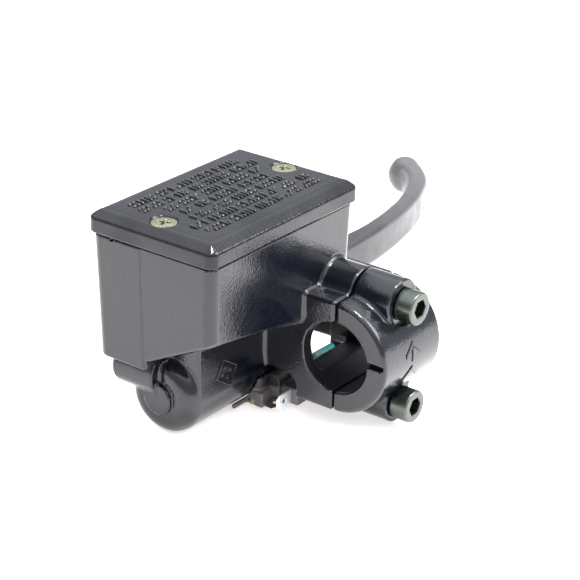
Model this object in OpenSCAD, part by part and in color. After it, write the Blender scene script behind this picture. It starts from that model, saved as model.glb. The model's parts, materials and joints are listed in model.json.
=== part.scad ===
// Hydraulic front brake master cylinder for a right-hand handlebar.
// Origin: centre of the handlebar bore. +X points to the lever tip, +Y forward, +Z up.

/* [Handlebar clamp] */
// Diameter of the handlebar that the clamp grips
bar_d = 22.2; // [20:0.1:25.4]
// Length of the clamp along the bar
clamp_len = 30; // [24:1:36]
// Thickness of metal around the bar
clamp_wall = 6.4; // [5:0.2:8]
// Gap between the two clamp halves
split_gap = 0.6; // [0.3:0.1:1.5]
// Thread diameter of the clamp bolts
clamp_bolt_d = 6; // [5:0.5:7]

/* [Reservoir] */
// Outer length of the tub, along the bar
tub_len = 66.8; // [56:0.4:84]
// Outer width of the tub, front to back
tub_w = 44; // [36:0.5:52]
// Distance from the bar's front forward to the tub's rear wall, at the rim
tub_setback = -0.2; // [-0.2:0.1:5]
// Height of the tub's rim above the bar's centre
tub_top = 38.6; // [34:0.2:48]
// Thickness of the tub's walls
tub_wall = 2.8; // [2:0.1:4]
// Radius of the tub's upright corners
tub_corner = 3.4; // [3:0.2:8]
// How far each wall leans in from rim to base
tub_draft = 1; // [0:0.1:2]

/* [Lid] */
// Height of the lid's upright rim
lid_rim_h = 4.4; // [3:0.2:7]
// Height of the bevel around the lid's top
lid_bevel_h = 2.3; // [1:0.1:4]
// How far the lid stands out past the tub
lid_overhang = 0.8; // [0.4:0.2:2]
// Thread diameter of the lid screws
lid_screw_d = 4; // [3:0.5:5]

/* [Cylinder] */
// Diameter of the hydraulic bore
bore_d = 12.7; // [11:0.1:14]
// Outer diameter of the cylinder's barrel
barrel_d = 24; // [22:0.5:28]
// Distance from the bar's front forward to the bore's axis
bore_ahead = 25.9; // [25.9:0.1:31]
// Depth of the bore's axis below the bar's centre
bore_drop = 11.2; // [9:0.2:14]
// Thread diameter of the hose's bolt
outlet_d = 10; // [8:0.5:11]

/* [Lever] */
// Height of the lever's blade
blade_h = 13; // [10:0.5:14]
// Thickness of the lever's hub, between the ears
hub_h = 8; // [7:0.5:9]
// Diameter of the ball at the lever's tip
tip_d = 12.6; // [11:0.2:16]
// Distance from the bore's axis forward to the lever's pivot
pivot_arm = 21; // [19:0.5:24]
// Diameter of the pivot bolt's shoulder
pivot_d = 8; // [7:0.5:9]

/* [Switch] */
// Thickness of the switch's spade terminals
spade_t = 0.8; // [0.5:0.1:1]
// Width of the switch's spade terminals
spade_w = 4.8; // [4:0.1:5]
// Diameter of the switch's plunger
plunger_d = 3; // [2.4:0.1:3.2]

/* [Fits] */
// Radial clearance of what slides or turns
run_fit = 0.05; // [0.02:0.01:0.1]
// Radial clearance of a bolt in a plain hole
bolt_fit = 0.2; // [0.1:0.05:0.4]

/* [Hidden] */
$fn = 48;
eps = 0.01;
far = 200;

// Clamp
bar_r = bar_d / 2;
clamp_r = bar_r + clamp_wall;
bore_y = bar_r + bore_ahead;
bolt_r = clamp_bolt_d / 2 - run_fit;
bolt_z = bar_r + clamp_bolt_d / 2 + 1.7;
bolt_head_r = clamp_bolt_d * 5 / 6;
boss_r = clamp_bolt_d / 2 + 3.5;
upper_boss_r = boss_r + 1;
cap_seat_y = 4.5 - clamp_r;
bolt_head_h = clamp_bolt_d;
block_front = bar_r + 2.8;
bolt_tip_y = block_front - 2.9;
hex_socket_r = clamp_bolt_d * 0.48;
hex_socket_deep = 3.5;
web_t = 4;
web_foot_z = -10.3;
window_y = 2;
window_z = [2.6 - bar_r, bar_r - 4.6];
slot_z = [0.4, 2.1];
slot_deep = 2;
slot_skin = 0.8;
arm_top = clamp_r;

// Reservoir and lid
tub_x1 = 8.9;
tub_x0 = tub_x1 - tub_len;
tub_y0 = bar_r + tub_setback;
tub_y1 = tub_y0 + tub_w;
tub_bottom = 0.4;
tub_floor = 4;
tub_mid_y = (tub_y0 + tub_y1) / 2;
screw_inset = 6.1;
screw_x = [tub_x0 + screw_inset, tub_x1 - screw_inset];
screw_boss_r = lid_screw_d / 2 + 2.2;
under_tilt = [26.65, 8.84];
under_at = [tub_x0, bore_y - 2.5, 4.1];
under_front = bore_y - 1;
seal_t = 0.6;
lid_z0 = tub_top + seal_t;
lid_z1 = lid_z0 + lid_rim_h;
lid_z2 = lid_z1 + lid_bevel_h;
lid_bevel_w = 3.2;
lid_corner = 3;
lid_skin = 2.5;
lid_x0 = tub_x0 - lid_overhang;
lid_x1 = tub_x1 + lid_overhang;
lid_y0 = tub_y0 - lid_overhang;
lid_y1 = tub_y1 + lid_overhang;
lid_wall = 4.2;
lid_col_r = lid_screw_d / 2 + 3;
mark_h = 0.4;
mark_pitch = 4.6;
mark_x = (tub_x0 + tub_x1) / 2 + 0.5;
countersink_deep = 2.6;
countersink_r = lid_screw_d + 0.6;
screw_reach = 12;
pan_drop = 9;
pan_wall = 1.2;
pan_x = [screw_x[0] + screw_boss_r + 1, screw_x[1] - screw_boss_r - 1];
pan_y = [tub_y0 + tub_wall + 1.2, tub_y1 - tub_wall - 1.2];

// Cylinder, with places along the bore's axis
bore_z = -bore_drop;
bore_r = bore_d / 2;
barrel_r = barrel_d / 2;
barrel_in = -49.6;
barrel_step = 5.5;
barrel_out = 9.5;
barrel_nose_r = bore_r + 3.65;
end_round = 5;
pad_r = 5;
pad_t = 1.4;
bore_end = -43.5;
seat_x = 1.5;
seat_r = bore_r + 2.1;
groove_r = seat_r + 0.8;
washer_t = 1.1;
clip_t = 1.1;
piston_fit_r = bore_r - run_fit;
shoulder_x = seat_x - 0.1;
rod_r = bore_r - 2.85;
rod_out = 20.1;
cup_t = 3.2;
piston_front = -20.5;
nose_r = bore_r - 3.75;
waist_r = bore_r - 2.55;
cup_inner_r = bore_r - 2.15;
second_cup_x = -4.6;
spring_turns = 6;
spring_wire_r = 0.5;
spring_r = bore_r - 1.95;
outlet_at = [-46.5, -4.3];
outlet_end = bore_y + 15;
outlet_boss_r = outlet_d / 2 + 1.6;
outlet_bore_r = outlet_d / 2 - 0.55;
outlet_depth = 11;

// Lever and its bracket
pivot = [23, bore_y + pivot_arm];
hub_r = 9;
ear_r = 8.6;
ear_gap = 0.3;
ear_t = [4.5, 4];
hub_z0 = bore_z - hub_h / 2;
hub_z1 = bore_z + hub_h / 2;
ear_z1 = hub_z1 + ear_gap;
ear_z0 = hub_z0 - ear_gap;
pivot_r = pivot_d / 2;
pivot_head_h = 3.2;
pivot_head_r = pivot_r + 2.5;
nut_h = 3.5;
bush_r = pivot_r + 1.5;
thread_r = 2.95;
contact_x = rod_out + 0.1;
finger_x = 17;
tip_at = pivot + [123, 24.6];
// Middle line of the blade, measured from the pivot: [along X, along Y, half the thickness]
blade_line = [[7, -0.4, 6], [29, -2.2, 4.8], [53, -3.2, 3.6], [69, -2, 3.3], [85, 1, 3.3],
    [99, 5.4, 3.4], [111, 11.2, 3.6], [119, 18.5, 3.8]];

// Switch
switch_y = bore_y - 14;
switch_z = -15.8;
switch_x0 = -19.6;
switch_x1 = 5;
plunger_r = plunger_d / 2;
chamber_r = plunger_r + 0.5;
chamber_x = [-13.4, 2.4];
shelf = [-8, -17];
step_x = -14.2;
plunger_in = -2.2;
plunger_out = finger_x - 0.15;
switch_base = -22.3;
spade_tip = switch_x0 - 0.2;
spade_root = -9.8;
stud_at = [-16.6, switch_y + 3.6];
stud_r = 1.45;
stud_head_r = 2.8;
stud_head_h = 1.8;
stud_top = -9;
spade_hole_r = 0.75;
spade_hole_x = spade_tip + 3.4;
upright_at = [switch_y - 6, -18.9];
flat_at = [switch_y - 3, -21];

// Points along an arc, for outlines and turned profiles.
function arc(c, r, a0, a1, n = 6) =
    [for (i = [0:n]) c + r * [cos(a0 + (a1 - a0) * i / n), sin(a0 + (a1 - a0) * i / n)]];

function rounded(x0, y0, x1, y1, r) = concat(
    arc([x1 - r, y1 - r], r, 0, 90), arc([x0 + r, y1 - r], r, 90, 180),
    arc([x0 + r, y0 + r], r, 180, 270), arc([x1 - r, y0 + r], r, 270, 360));

// Point t of the smooth curve through four points, between the middle two.
function spline(a, b, c, d, t) =
    0.5 * (2 * b + (c - a) * t + (2 * a - 5 * b + 4 * c - d) * t * t
    + (3 * b - a - 3 * c + d) * t * t * t);

module box(lo, hi) {
    translate(lo) cube(hi - lo);
}

module slab(x0, y0, x1, y1, r, z0, z1) {
    translate([0, 0, z0]) linear_extrude(z1 - z0) polygon(rounded(x0, y0, x1, y1, r));
}

module along_x(x0, x1, r, y = bore_y, z = bore_z) {
    translate([x0, y, z]) rotate([0, 90, 0]) cylinder(h = x1 - x0, r = r);
}

module along_y(y0, y1, r, x, z) {
    translate([x, y0, z]) rotate([-90, 0, 0]) cylinder(h = y1 - y0, r = r);
}

module along_z(z0, z1, r, x, y) {
    translate([x, y, z0]) cylinder(h = z1 - z0, r = r);
}

// A profile of [place along X, radius] points, turned about the bore's axis.
module turned(profile, y = bore_y, z = bore_z) {
    translate([0, y, z]) rotate([0, 90, 0]) rotate_extrude()
        polygon([for (p = profile) [p[1], p[0]]]);
}

// A closed coil about an axis along X, swept as one polyhedron.
module coil(x0, x1, r, wire, turns, y, z) {
    sides = 6;
    rings = turns * 14;
    function ring(i) = let (a = 360 * turns * i / rings, s = x0 + wire + (x1 - x0 - 2 * wire) * i / rings)
        [for (k = [0:sides - 1]) let (b = 360 * k / sides, q = r + wire * cos(b))
            [s + wire * sin(b), y + q * cos(a), z + q * sin(a)]];
    polyhedron(
        points = [for (i = [0:rings]) each ring(i)],
        faces = concat(
            [for (i = [0:rings - 1]) for (k = [0:sides - 1]) let (a = i * sides, j = (k + 1) % sides)
                each [[a + k, a + sides + k, a + j], [a + j, a + sides + k, a + sides + j]]],
            [[for (k = [0:sides - 1]) k]],
            [[for (k = [sides - 1:-1:0]) rings * sides + k]]));
}

// Everything under the tub's slanted underside, raised by lift.
module under_plane(lift = 0) {
    translate([under_at[0], under_at[1], under_at[2] + lift])
        rotate([-under_tilt[0], under_tilt[1], 0])
            translate([-far / 2, -far / 2, -far]) cube(far);
}

module tub_outside() {
    difference() {
        hull() {
            slab(tub_x0, tub_y0, tub_x1, tub_y1, tub_corner, tub_top - eps, tub_top);
            slab(tub_x0 + tub_draft, tub_y0 + tub_draft, tub_x1 - tub_draft, tub_y1 - tub_draft,
                tub_corner, tub_bottom, tub_bottom + eps);
        }
        intersection() {
            under_plane();
            box([-far, -far, -far], [far, under_front, far]);
        }
    }
}

module tub_inside() {
    in = tub_wall + tub_draft / 2;
    difference() {
        slab(tub_x0 + in, tub_y0 + in, tub_x1 - in, tub_y1 - in, tub_corner / 2, tub_floor, tub_top + 1);
        under_plane(tub_wall + 0.4);
        for (x = screw_x) {
            along_z(-1, tub_top + 2, screw_boss_r, x, tub_mid_y);
            box([x - (x < 0 ? screw_inset : 0), tub_mid_y - screw_boss_r, -1],
                [x + (x < 0 ? 0 : screw_inset), tub_mid_y + screw_boss_r, tub_top + 2]);
        }
    }
}

module barrel() {
    turned([[barrel_out, 0], [barrel_out, barrel_nose_r],
        [barrel_step, barrel_nose_r], [barrel_step, barrel_r],
        each arc([barrel_in + end_round, barrel_r - end_round], end_round, 90, 180),
        [barrel_in, 0]]);
    along_x(barrel_in - pad_t, barrel_in + 1, pad_r);
}

// Neck between the barrel and the tub, with an upright rear face.
module neck() {
    box([barrel_in + 4, bore_y - barrel_r + 0.5, bore_z], [barrel_step, bore_y + barrel_r - 1, tub_floor - 1]);
}

module clamp_half() {
    box([-clamp_len / 2, split_gap / 2, -clamp_r], [clamp_len / 2, block_front, arm_top]);
    along_y(split_gap / 2, block_front, boss_r, 0, -bolt_z);
    along_y(split_gap / 2, block_front, upper_boss_r, 0, bolt_z);
}

// Inboard web and top plate that carry the clamp on the neck.
module arm() {
    y0 = block_front - 1;
    y1 = bore_y - barrel_r + 1.5;
    box([-clamp_len / 2, y0, web_foot_z], [-clamp_len / 2 + web_t, y1, arm_top]);
    box([-clamp_len / 2, y0, window_z[1] + 1], [clamp_len / 2, y1, arm_top]);
}

module ear_outline() {
    hull() {
        translate(pivot) circle(r = ear_r, $fn = 32);
        translate([-4, bore_y + 9]) square([barrel_out + 4, barrel_r - 6]);
    }
}

module pivot_ears() {
    translate([0, 0, ear_z1]) linear_extrude(ear_t[0]) ear_outline();
    translate([0, 0, ear_z0 - ear_t[1]]) linear_extrude(ear_t[1]) ear_outline();
    box([-4, bore_y, ear_z0 - ear_t[1]], [barrel_out, bore_y + barrel_r + 3, ear_z1 + ear_t[0]]);
}

module body_solid() {
    tub_outside();
    neck();
    barrel();
    clamp_half();
    arm();
    pivot_ears();
    along_y(bore_y, outlet_end, outlet_boss_r, outlet_at[0], outlet_at[1]);
}

module master_body() color("#1c1d20") difference() {
    body_solid();
    tub_inside();
    for (x = screw_x) along_z(tub_top - screw_reach - 1, tub_top + 1, lid_screw_d / 2, x, tub_mid_y);
    // Handlebar bore, its window and the bolts' threads
    along_x(-clamp_len / 2 - eps, clamp_len / 2 + eps, bar_r, 0, 0);
    box([-clamp_len / 2 + web_t, window_y, window_z[0]],
        [clamp_len / 2 - web_t, block_front + eps, window_z[1]]);
    for (z = [-bolt_z, bolt_z]) along_y(-1, bolt_tip_y + 1, clamp_bolt_d / 2, 0, z);
    // Hydraulic bore, with the ports up to the tub
    along_x(bore_end, barrel_out + 1, bore_r);
    along_x(seat_x, barrel_out + 1, seat_r);
    along_x(seat_x + washer_t, seat_x + washer_t + clip_t + 0.1, groove_r);
    along_z(bore_z, tub_floor + 1, 2, -11, bore_y);
    along_z(bore_z, tub_floor + 1, 0.5, piston_front - cup_t - 1.4, bore_y);
    // Outlet to the hose
    along_y(outlet_end - outlet_depth, outlet_end + 1, outlet_bore_r, outlet_at[0], outlet_at[1]);
    translate([bore_end + 1.5, bore_y + 3, bore_z + 3]) rotate([-65, 0, 0]) cylinder(h = 7, r = 1.2);
    // Pivot bolt, lever slot and switch stud
    along_z(bore_z, far, pivot_r + run_fit, pivot[0], pivot[1]);
    along_z(-far, bore_z, thread_r + run_fit, pivot[0], pivot[1]);
    along_z(switch_base, stud_top + 1, stud_r + run_fit, stud_at[0], stud_at[1]);
}

module clamp_cap() color("#1a1b1e") difference() {
    union() {
        intersection() {
            along_x(-clamp_len / 2, clamp_len / 2, clamp_r, 0, 0);
            box([-far, -far, -far], [far, -split_gap / 2, far]);
        }
        along_y(cap_seat_y, -split_gap / 2, boss_r, 0, -bolt_z);
        along_y(cap_seat_y, -split_gap / 2, upper_boss_r, 0, bolt_z);
    }
    along_x(-clamp_len, clamp_len, bar_r, 0, 0);
    for (z = [-bolt_z, bolt_z]) {
        along_y(-far, cap_seat_y, boss_r, 0, z);
        along_y(-far, 1, clamp_bolt_d / 2 + bolt_fit, 0, z);
    }
    for (x = [-clamp_len / 2, clamp_len / 2])
        box([x - slot_deep, slot_skin - clamp_r, slot_z[0]], [x + slot_deep, 2 - bar_r, slot_z[1]]);
}

module clamp_bolts() color("#4d5145") for (z = [-bolt_z, bolt_z]) difference() {
    union() {
        along_y(cap_seat_y, bolt_tip_y, bolt_r, 0, z);
        along_y(cap_seat_y - bolt_head_h, cap_seat_y, bolt_head_r, 0, z);
    }
    translate([0, cap_seat_y - bolt_head_h - eps, z]) rotate([-90, 0, 0])
        cylinder(h = hex_socket_deep, r = hex_socket_r, $fn = 6);
}

// Raised bars in rows on the lid, in place of its wording.
module lid_marks() {
    dash = [5, 2.4, 6.2, 3.4];
    for (row = [-3:3]) {
        wide = tub_len / 2 - (row == 0 ? 12.4 : 8.4 + abs(row));
        y = tub_mid_y + row * mark_pitch;
        for (i = [0:4]) let (w = dash[(i + abs(row)) % 4], x = mark_x - wide + i * wide * 0.45)
            box([x, y - 0.9, lid_z2 - eps], [x + w, y + 0.9, lid_z2 + mark_h]);
    }
}

module reservoir_lid() color("#222326") difference() {
    union() {
        slab(lid_x0, lid_y0, lid_x1, lid_y1, lid_corner, lid_z0, lid_z1);
        hull() {
            slab(lid_x0, lid_y0, lid_x1, lid_y1, lid_corner, lid_z1 - eps, lid_z1);
            slab(lid_x0 + lid_bevel_w, lid_y0 + lid_bevel_w, lid_x1 - lid_bevel_w, lid_y1 - lid_bevel_w,
                1, lid_z2 - eps, lid_z2);
        }
        lid_marks();
    }
    difference() {
        slab(lid_x0 + lid_wall, lid_y0 + lid_wall, lid_x1 - lid_wall, lid_y1 - lid_wall, 2,
            lid_z0 - 1, lid_z2 - lid_skin);
        for (x = screw_x) along_z(lid_z0 - 2, lid_z2, lid_col_r, x, tub_mid_y);
    }
    for (x = screw_x) {
        along_z(lid_z0 - 1, lid_z2 + 2, lid_screw_d / 2 + bolt_fit, x, tub_mid_y);
        translate([x, tub_mid_y, lid_z2 - countersink_deep])
            cylinder(h = countersink_deep, r1 = lid_screw_d / 2 + bolt_fit, r2 = countersink_r);
        along_z(lid_z2 - eps, lid_z2 + 2, countersink_r, x, tub_mid_y);
    }
}

module lid_screws() color("#6a6b4c") for (x = screw_x) difference() {
    union() {
        along_z(tub_top - screw_reach, lid_z2 - 2, lid_screw_d / 2 - run_fit, x, tub_mid_y);
        translate([x, tub_mid_y, lid_z2 - countersink_deep])
            cylinder(h = countersink_deep - 0.2, r1 = lid_screw_d / 2 - run_fit, r2 = countersink_r - 0.4);
    }
    for (a = [20, 110]) translate([x, tub_mid_y, lid_z2]) rotate(a)
        cube([lid_screw_d * 1.1, 0.9, 3], center = true);
}

// Rubber seal that closes the tub and hangs into it as a shallow pan.
module lid_diaphragm() color("#151515") difference() {
    union() {
        slab(tub_x0 + 0.9, tub_y0 + 0.9, tub_x1 - 0.9, tub_y1 - 0.9, tub_corner - 0.9, tub_top, lid_z0);
        slab(pan_x[0], pan_y[0], pan_x[1], pan_y[1], 3, tub_top - pan_drop, lid_z0);
    }
    slab(pan_x[0] + pan_wall, pan_y[0] + pan_wall, pan_x[1] - pan_wall, pan_y[1] - pan_wall, 2,
        tub_top - pan_drop + pan_wall, lid_z0 + 1);
    for (x = screw_x) along_z(tub_top - 1, lid_z0 + 1, lid_screw_d / 2 + bolt_fit, x, tub_mid_y);
}

module diaphragm_plate() color("#3b3b3d") difference() {
    slab(lid_x0 + lid_wall + 0.3, lid_y0 + lid_wall + 0.3, lid_x1 - lid_wall - 0.3,
        lid_y1 - lid_wall - 0.3, 2, lid_z0, lid_z0 + 1.6);
    for (x = screw_x) along_z(lid_z0 - 1, lid_z1, lid_col_r + 0.3, x, tub_mid_y);
    slab(pan_x[0] + 10, tub_mid_y - 2, pan_x[1] - 10, tub_mid_y + 2, 1.9, lid_z0 - 1, lid_z1);
}

// Small plate over the ports that keeps fluid from spurting up.
module fluid_baffle() color("#b9b9b4") {
    slab(-31, bore_y - 3.5, -4, bore_y + 5.5, 1.5, tub_floor + 1.6, tub_floor + 2.4);
    for (x = [-30, -17.5, -6]) box([x, bore_y + 2.6, tub_floor], [x + 1, bore_y + 5, tub_floor + 1.8]);
}

// Outline of one side of the blade: side is 1 for the front and -1 for the rear.
function blade_edge(side) = let (p = blade_line, n = len(p) - 1)
    [for (i = [0:n - 1]) for (t = [0:0.25:i == n - 1 ? 1 : 0.75])
        let (a = p[max(i - 1, 0)], b = p[i], c = p[i + 1], d = p[min(i + 2, n)],
            q = spline(a, b, c, d, t), v = spline(a, b, c, d, t + 0.02) - spline(a, b, c, d, t - 0.02),
            m = norm([v[0], v[1]]))
        pivot + [q[0] - side * q[2] * v[1] / m, q[1] + side * q[2] * v[0] / m]];

function reversed(p) = [for (i = [len(p) - 1:-1:0]) p[i]];

module brake_lever() color("#1d1e20") difference() {
    union() {
        along_z(hub_z0, hub_z1, hub_r, pivot[0], pivot[1]);
        // Arm from the hub back to the piston's rod
        translate([0, 0, hub_z0]) linear_extrude(hub_h) polygon([
            [pivot[0] - 7.4, pivot[1] - 5], [contact_x + 0.9, bore_y + 3.4], [contact_x + 0.25, bore_y + 1.9],
            [contact_x, bore_y + 0.6], [contact_x, bore_y - 0.6], [contact_x + 0.25, bore_y - 1.9],
            [contact_x + 0.9, bore_y - 3.4], [contact_x + 1.2, switch_y + 3],
            [contact_x + 2, switch_y], [contact_x + 5.8, switch_y + 2], [pivot[0] + 5, bore_y - 3],
            [pivot[0] + 8.4, pivot[1] - 3.2]]);
        // Finger that pushes the switch's plunger
        box([finger_x, switch_y - 3.5, switch_z - 2.2], [contact_x + 2.6, switch_y + 0.6, switch_z + 2.4]);
        box([contact_x + 0.6, switch_y - 3.5, switch_z - 2.2], [contact_x + 4, switch_y + 4, hub_z1]);
        translate([0, 0, bore_z - blade_h / 2]) linear_extrude(blade_h)
            polygon(concat(blade_edge(-1), reversed(blade_edge(1))));
        // Flat shoulder that joins the hub to the blade
        box([pivot[0], pivot[1] - 7.2, hub_z0], [40, pivot[1] + 5.6, hub_z1]);
        translate([tip_at[0], tip_at[1], bore_z]) sphere(r = tip_d / 2);
    }
    along_z(-far, far, bush_r + run_fit, pivot[0], pivot[1]);
    // Room for the ears over the blade's root
    for (z = [hub_z1 + eps, hub_z0 - eps - 10]) along_z(z, z + 10, ear_r + 4.5, pivot[0], pivot[1]);
}

module lever_bush() color("#8c7447") difference() {
    along_z(hub_z0 - 0.1, hub_z1 + 0.1, bush_r, pivot[0], pivot[1]);
    along_z(-far, far, pivot_r + run_fit, pivot[0], pivot[1]);
}

module lever_pivot_bolt() color("#55594c") difference() {
    union() {
        along_z(ear_z0 + 0.1, ear_z1 + ear_t[0], pivot_r, pivot[0], pivot[1]);
        along_z(ear_z0 - ear_t[1] - nut_h + 0.1, ear_z0 + 0.2, thread_r, pivot[0], pivot[1]);
        along_z(ear_z1 + ear_t[0], ear_z1 + ear_t[0] + pivot_head_h, pivot_head_r, pivot[0], pivot[1]);
    }
    translate([pivot[0], pivot[1], ear_z1 + ear_t[0] + pivot_head_h])
        cube([2 * pivot_head_r + 1, 1.4, 2.6], center = true);
}

module lever_pivot_nut() color("#6b6e5c") difference() {
    translate([pivot[0], pivot[1], ear_z0 - ear_t[1] - nut_h]) cylinder(h = nut_h, r = 5.77, $fn = 6);
    along_z(-far, 0, thread_r + run_fit, pivot[0], pivot[1]);
}

module piston() color("#c9c9c4") turned([
    [piston_front - cup_t - 2.4, 0], [piston_front - cup_t - 2.4, nose_r], [piston_front, nose_r],
    [piston_front, piston_fit_r], [piston_front + 3, piston_fit_r], [piston_front + 3, waist_r],
    [second_cup_x - 1.4, waist_r], [second_cup_x - 1.4, piston_fit_r], [second_cup_x, piston_fit_r],
    [second_cup_x, cup_inner_r], [second_cup_x + cup_t, cup_inner_r],
    [second_cup_x + cup_t, piston_fit_r], [shoulder_x, piston_fit_r], [shoulder_x, rod_r],
    [rod_out - 1.2, rod_r], [rod_out, rod_r - 1.2], [rod_out, 0]]);

module cup(x0, inner) {
    turned([[x0, inner], [x0, piston_fit_r], [x0 + 1, piston_fit_r - 0.2],
        [x0 + cup_t - 0.1, piston_fit_r - 0.4], [x0 + cup_t - 0.1, inner]]);
}

module primary_cup() color("#111111") cup(piston_front - cup_t + 0.05, nose_r + eps);

module secondary_cup() color("#111111") cup(second_cup_x + 0.05, cup_inner_r + eps);

module spring_seat() color("#a08a4a") {
    x0 = piston_front - cup_t - 0.1;
    turned([[x0 - 2.2, nose_r + eps], [x0 - 2.2, nose_r + 1], [x0 - 0.7, nose_r + 1],
        [x0 - 0.7, spring_r + 1], [x0, spring_r + 1], [x0, nose_r + eps]]);
}

module return_spring() color("#a9adb0")
    coil(bore_end + 0.1, piston_front - cup_t - 0.85, spring_r, spring_wire_r, spring_turns, bore_y, bore_z);

module stop_washer() color("#b5b7b8") difference() {
    along_x(seat_x, seat_x + washer_t, seat_r - 0.1);
    along_x(-far, far, rod_r + 0.4);
}

module circlip() color("#5a5c5f") {
    x0 = seat_x + washer_t + 0.05;
    difference() {
        along_x(x0, x0 + clip_t, groove_r - 0.1);
        along_x(-far, far, seat_r - 2);
        box([x0 - 1, bore_y - far, bore_z - 1.6], [x0 + clip_t + 1, bore_y, bore_z + 1.6]);
    }
}

// Rubber bellows on the rod: wide lip in the bore's mouth, narrow lip near the rod's end.
module dust_boot() color("#141414") {
    x0 = seat_x + washer_t + clip_t + 0.2;
    outer = [for (i = [0:8]) [x0 + 2.6 + i * 1.2, seat_r - (i % 2 == 0 ? 1.55 : 2.85) - i * 0.12]];
    inner = [for (p = outer) [p[0], p[1] - 0.9]];
    turned(concat([[x0, seat_r - 2.2], [x0, seat_r - 0.1], [x0 + 2.4, seat_r - 0.1]], outer,
        [[x0 + 13, rod_r + 1.6], [x0 + 13, rod_r + 0.1], [x0 + 12.2, rod_r + 0.1]],
        reversed(inner), [[x0 + 2, seat_r - 2.2]]));
}

module switch_housing() color("#1a1a1b") difference() {
    union() {
        box([switch_x0, switch_y - 0.5, switch_base], [step_x + 1, switch_y + 6.2, shelf[1] - 0.5]);
        box([step_x, switch_y - 2.6, switch_base], [shelf[0], switch_y + 5.4, shelf[1]]);
        box([shelf[0] - 1, switch_y - 2.6, switch_base], [switch_x1, switch_y + 5.4, -13]);
        // Barrel round the spring, over the shelf
        along_x(step_x, shelf[0], chamber_r + 0.9, switch_y, switch_z);
        // Post round the screw, up to the casting
        along_z(shelf[1] - 1, -13.4, stud_r + 1.3, stud_at[0], stud_at[1]);
        box([-12.6, switch_y - 8.6, switch_base + 0.6], [1, switch_y - 2, -16]);
        along_x(switch_x0 - 5.5, switch_x0 + 1, 0.75, switch_y + 6, -21.5);
    }
    along_x(-far, far, barrel_r + 0.2);
    along_x(chamber_x[0], chamber_x[1], chamber_r, switch_y, switch_z);
    along_x(chamber_x[0] + 1, far, plunger_r + run_fit, switch_y, switch_z);
    spade_upright();
    spade_flat();
    along_z(-far, 0, stud_r + bolt_fit, stud_at[0], stud_at[1]);
    along_z(-far, switch_base + stud_head_h + 0.1, stud_head_r + 0.3, stud_at[0], stud_at[1]);
}

module switch_plunger() color("#0f7d7c") turned([
    [plunger_in, 0], [plunger_in, plunger_r], [plunger_out - 0.8, plunger_r],
    [plunger_out, plunger_r - 0.8], [plunger_out, 0]], switch_y, switch_z);

module switch_contact() color("#b08d3c")
    along_x(plunger_in - 0.6, plunger_in, chamber_r - 0.06, switch_y, switch_z);

module switch_spring() color("#a9adb0")
    coil(chamber_x[0] + 0.05, plunger_in - 0.65, 1.35, 0.2, 3, switch_y, switch_z);

// A push-on blade from its tip to its root.
module spade(length) {
    translate([0, 0, -spade_t / 2]) linear_extrude(spade_t) polygon([
        [0, -spade_w / 2 + 1.2], [1.2, -spade_w / 2], [length, -spade_w / 2],
        [length, spade_w / 2], [1.2, spade_w / 2], [0, spade_w / 2 - 1.2]]);
}

module spade_upright() {
    translate([spade_tip, upright_at[0], upright_at[1]]) rotate([90, 0, 0]) spade(spade_root - spade_tip);
}

module spade_flat() {
    translate([spade_tip, flat_at[0], flat_at[1]]) spade(spade_root - spade_tip);
}

module switch_spade_upright() color("#c8cdd0") difference() {
    spade_upright();
    along_y(0, far, spade_hole_r, spade_hole_x, upright_at[1]);
}

module switch_spade_flat() color("#b39a63") difference() {
    spade_flat();
    along_z(-far, 0, spade_hole_r, spade_hole_x, flat_at[0]);
}

module switch_screw() color("#6a6b4c") difference() {
    union() {
        along_z(switch_base + 0.1, switch_base + 0.1 + stud_head_h, stud_head_r, stud_at[0], stud_at[1]);
        along_z(switch_base + stud_head_h, stud_top, stud_r, stud_at[0], stud_at[1]);
    }
    for (a = [0, 90]) translate([stud_at[0], stud_at[1], switch_base]) rotate(a)
        cube([3.4, 0.8, 2], center = true);
}

master_body();
clamp_cap();
clamp_bolts();
reservoir_lid();
lid_screws();
lid_diaphragm();
diaphragm_plate();
fluid_baffle();
brake_lever();
lever_bush();
lever_pivot_bolt();
lever_pivot_nut();
piston();
primary_cup();
secondary_cup();
spring_seat();
return_spring();
stop_washer();
circlip();
dust_boot();
switch_housing();
switch_plunger();
switch_contact();
switch_spring();
switch_spade_upright();
switch_spade_flat();
switch_screw();
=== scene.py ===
"""Motorcycle front brake master cylinder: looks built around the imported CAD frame.

Shapes are signed distance fields in millimetres, joined with rounded fillets like a casting's,
and turned into meshes. Their normals come from the field itself.
"""

import json
import math
import random

import bpy
import numpy as np
from mathutils import Matrix, Vector


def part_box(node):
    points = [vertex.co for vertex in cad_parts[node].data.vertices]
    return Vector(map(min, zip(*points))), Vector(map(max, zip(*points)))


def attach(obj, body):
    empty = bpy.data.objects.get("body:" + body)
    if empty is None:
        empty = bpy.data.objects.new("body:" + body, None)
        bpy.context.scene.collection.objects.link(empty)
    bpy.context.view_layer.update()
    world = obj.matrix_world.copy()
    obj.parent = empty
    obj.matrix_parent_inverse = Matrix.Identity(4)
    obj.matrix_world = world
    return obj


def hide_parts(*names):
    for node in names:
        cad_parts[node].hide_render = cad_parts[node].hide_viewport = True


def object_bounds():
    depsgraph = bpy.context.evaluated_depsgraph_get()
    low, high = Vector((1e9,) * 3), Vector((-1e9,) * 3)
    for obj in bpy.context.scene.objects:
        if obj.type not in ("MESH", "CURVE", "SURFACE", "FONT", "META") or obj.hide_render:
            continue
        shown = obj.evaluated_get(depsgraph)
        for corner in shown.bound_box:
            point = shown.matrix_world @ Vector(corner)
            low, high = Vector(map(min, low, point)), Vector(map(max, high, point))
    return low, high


MM = 0.001
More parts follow.
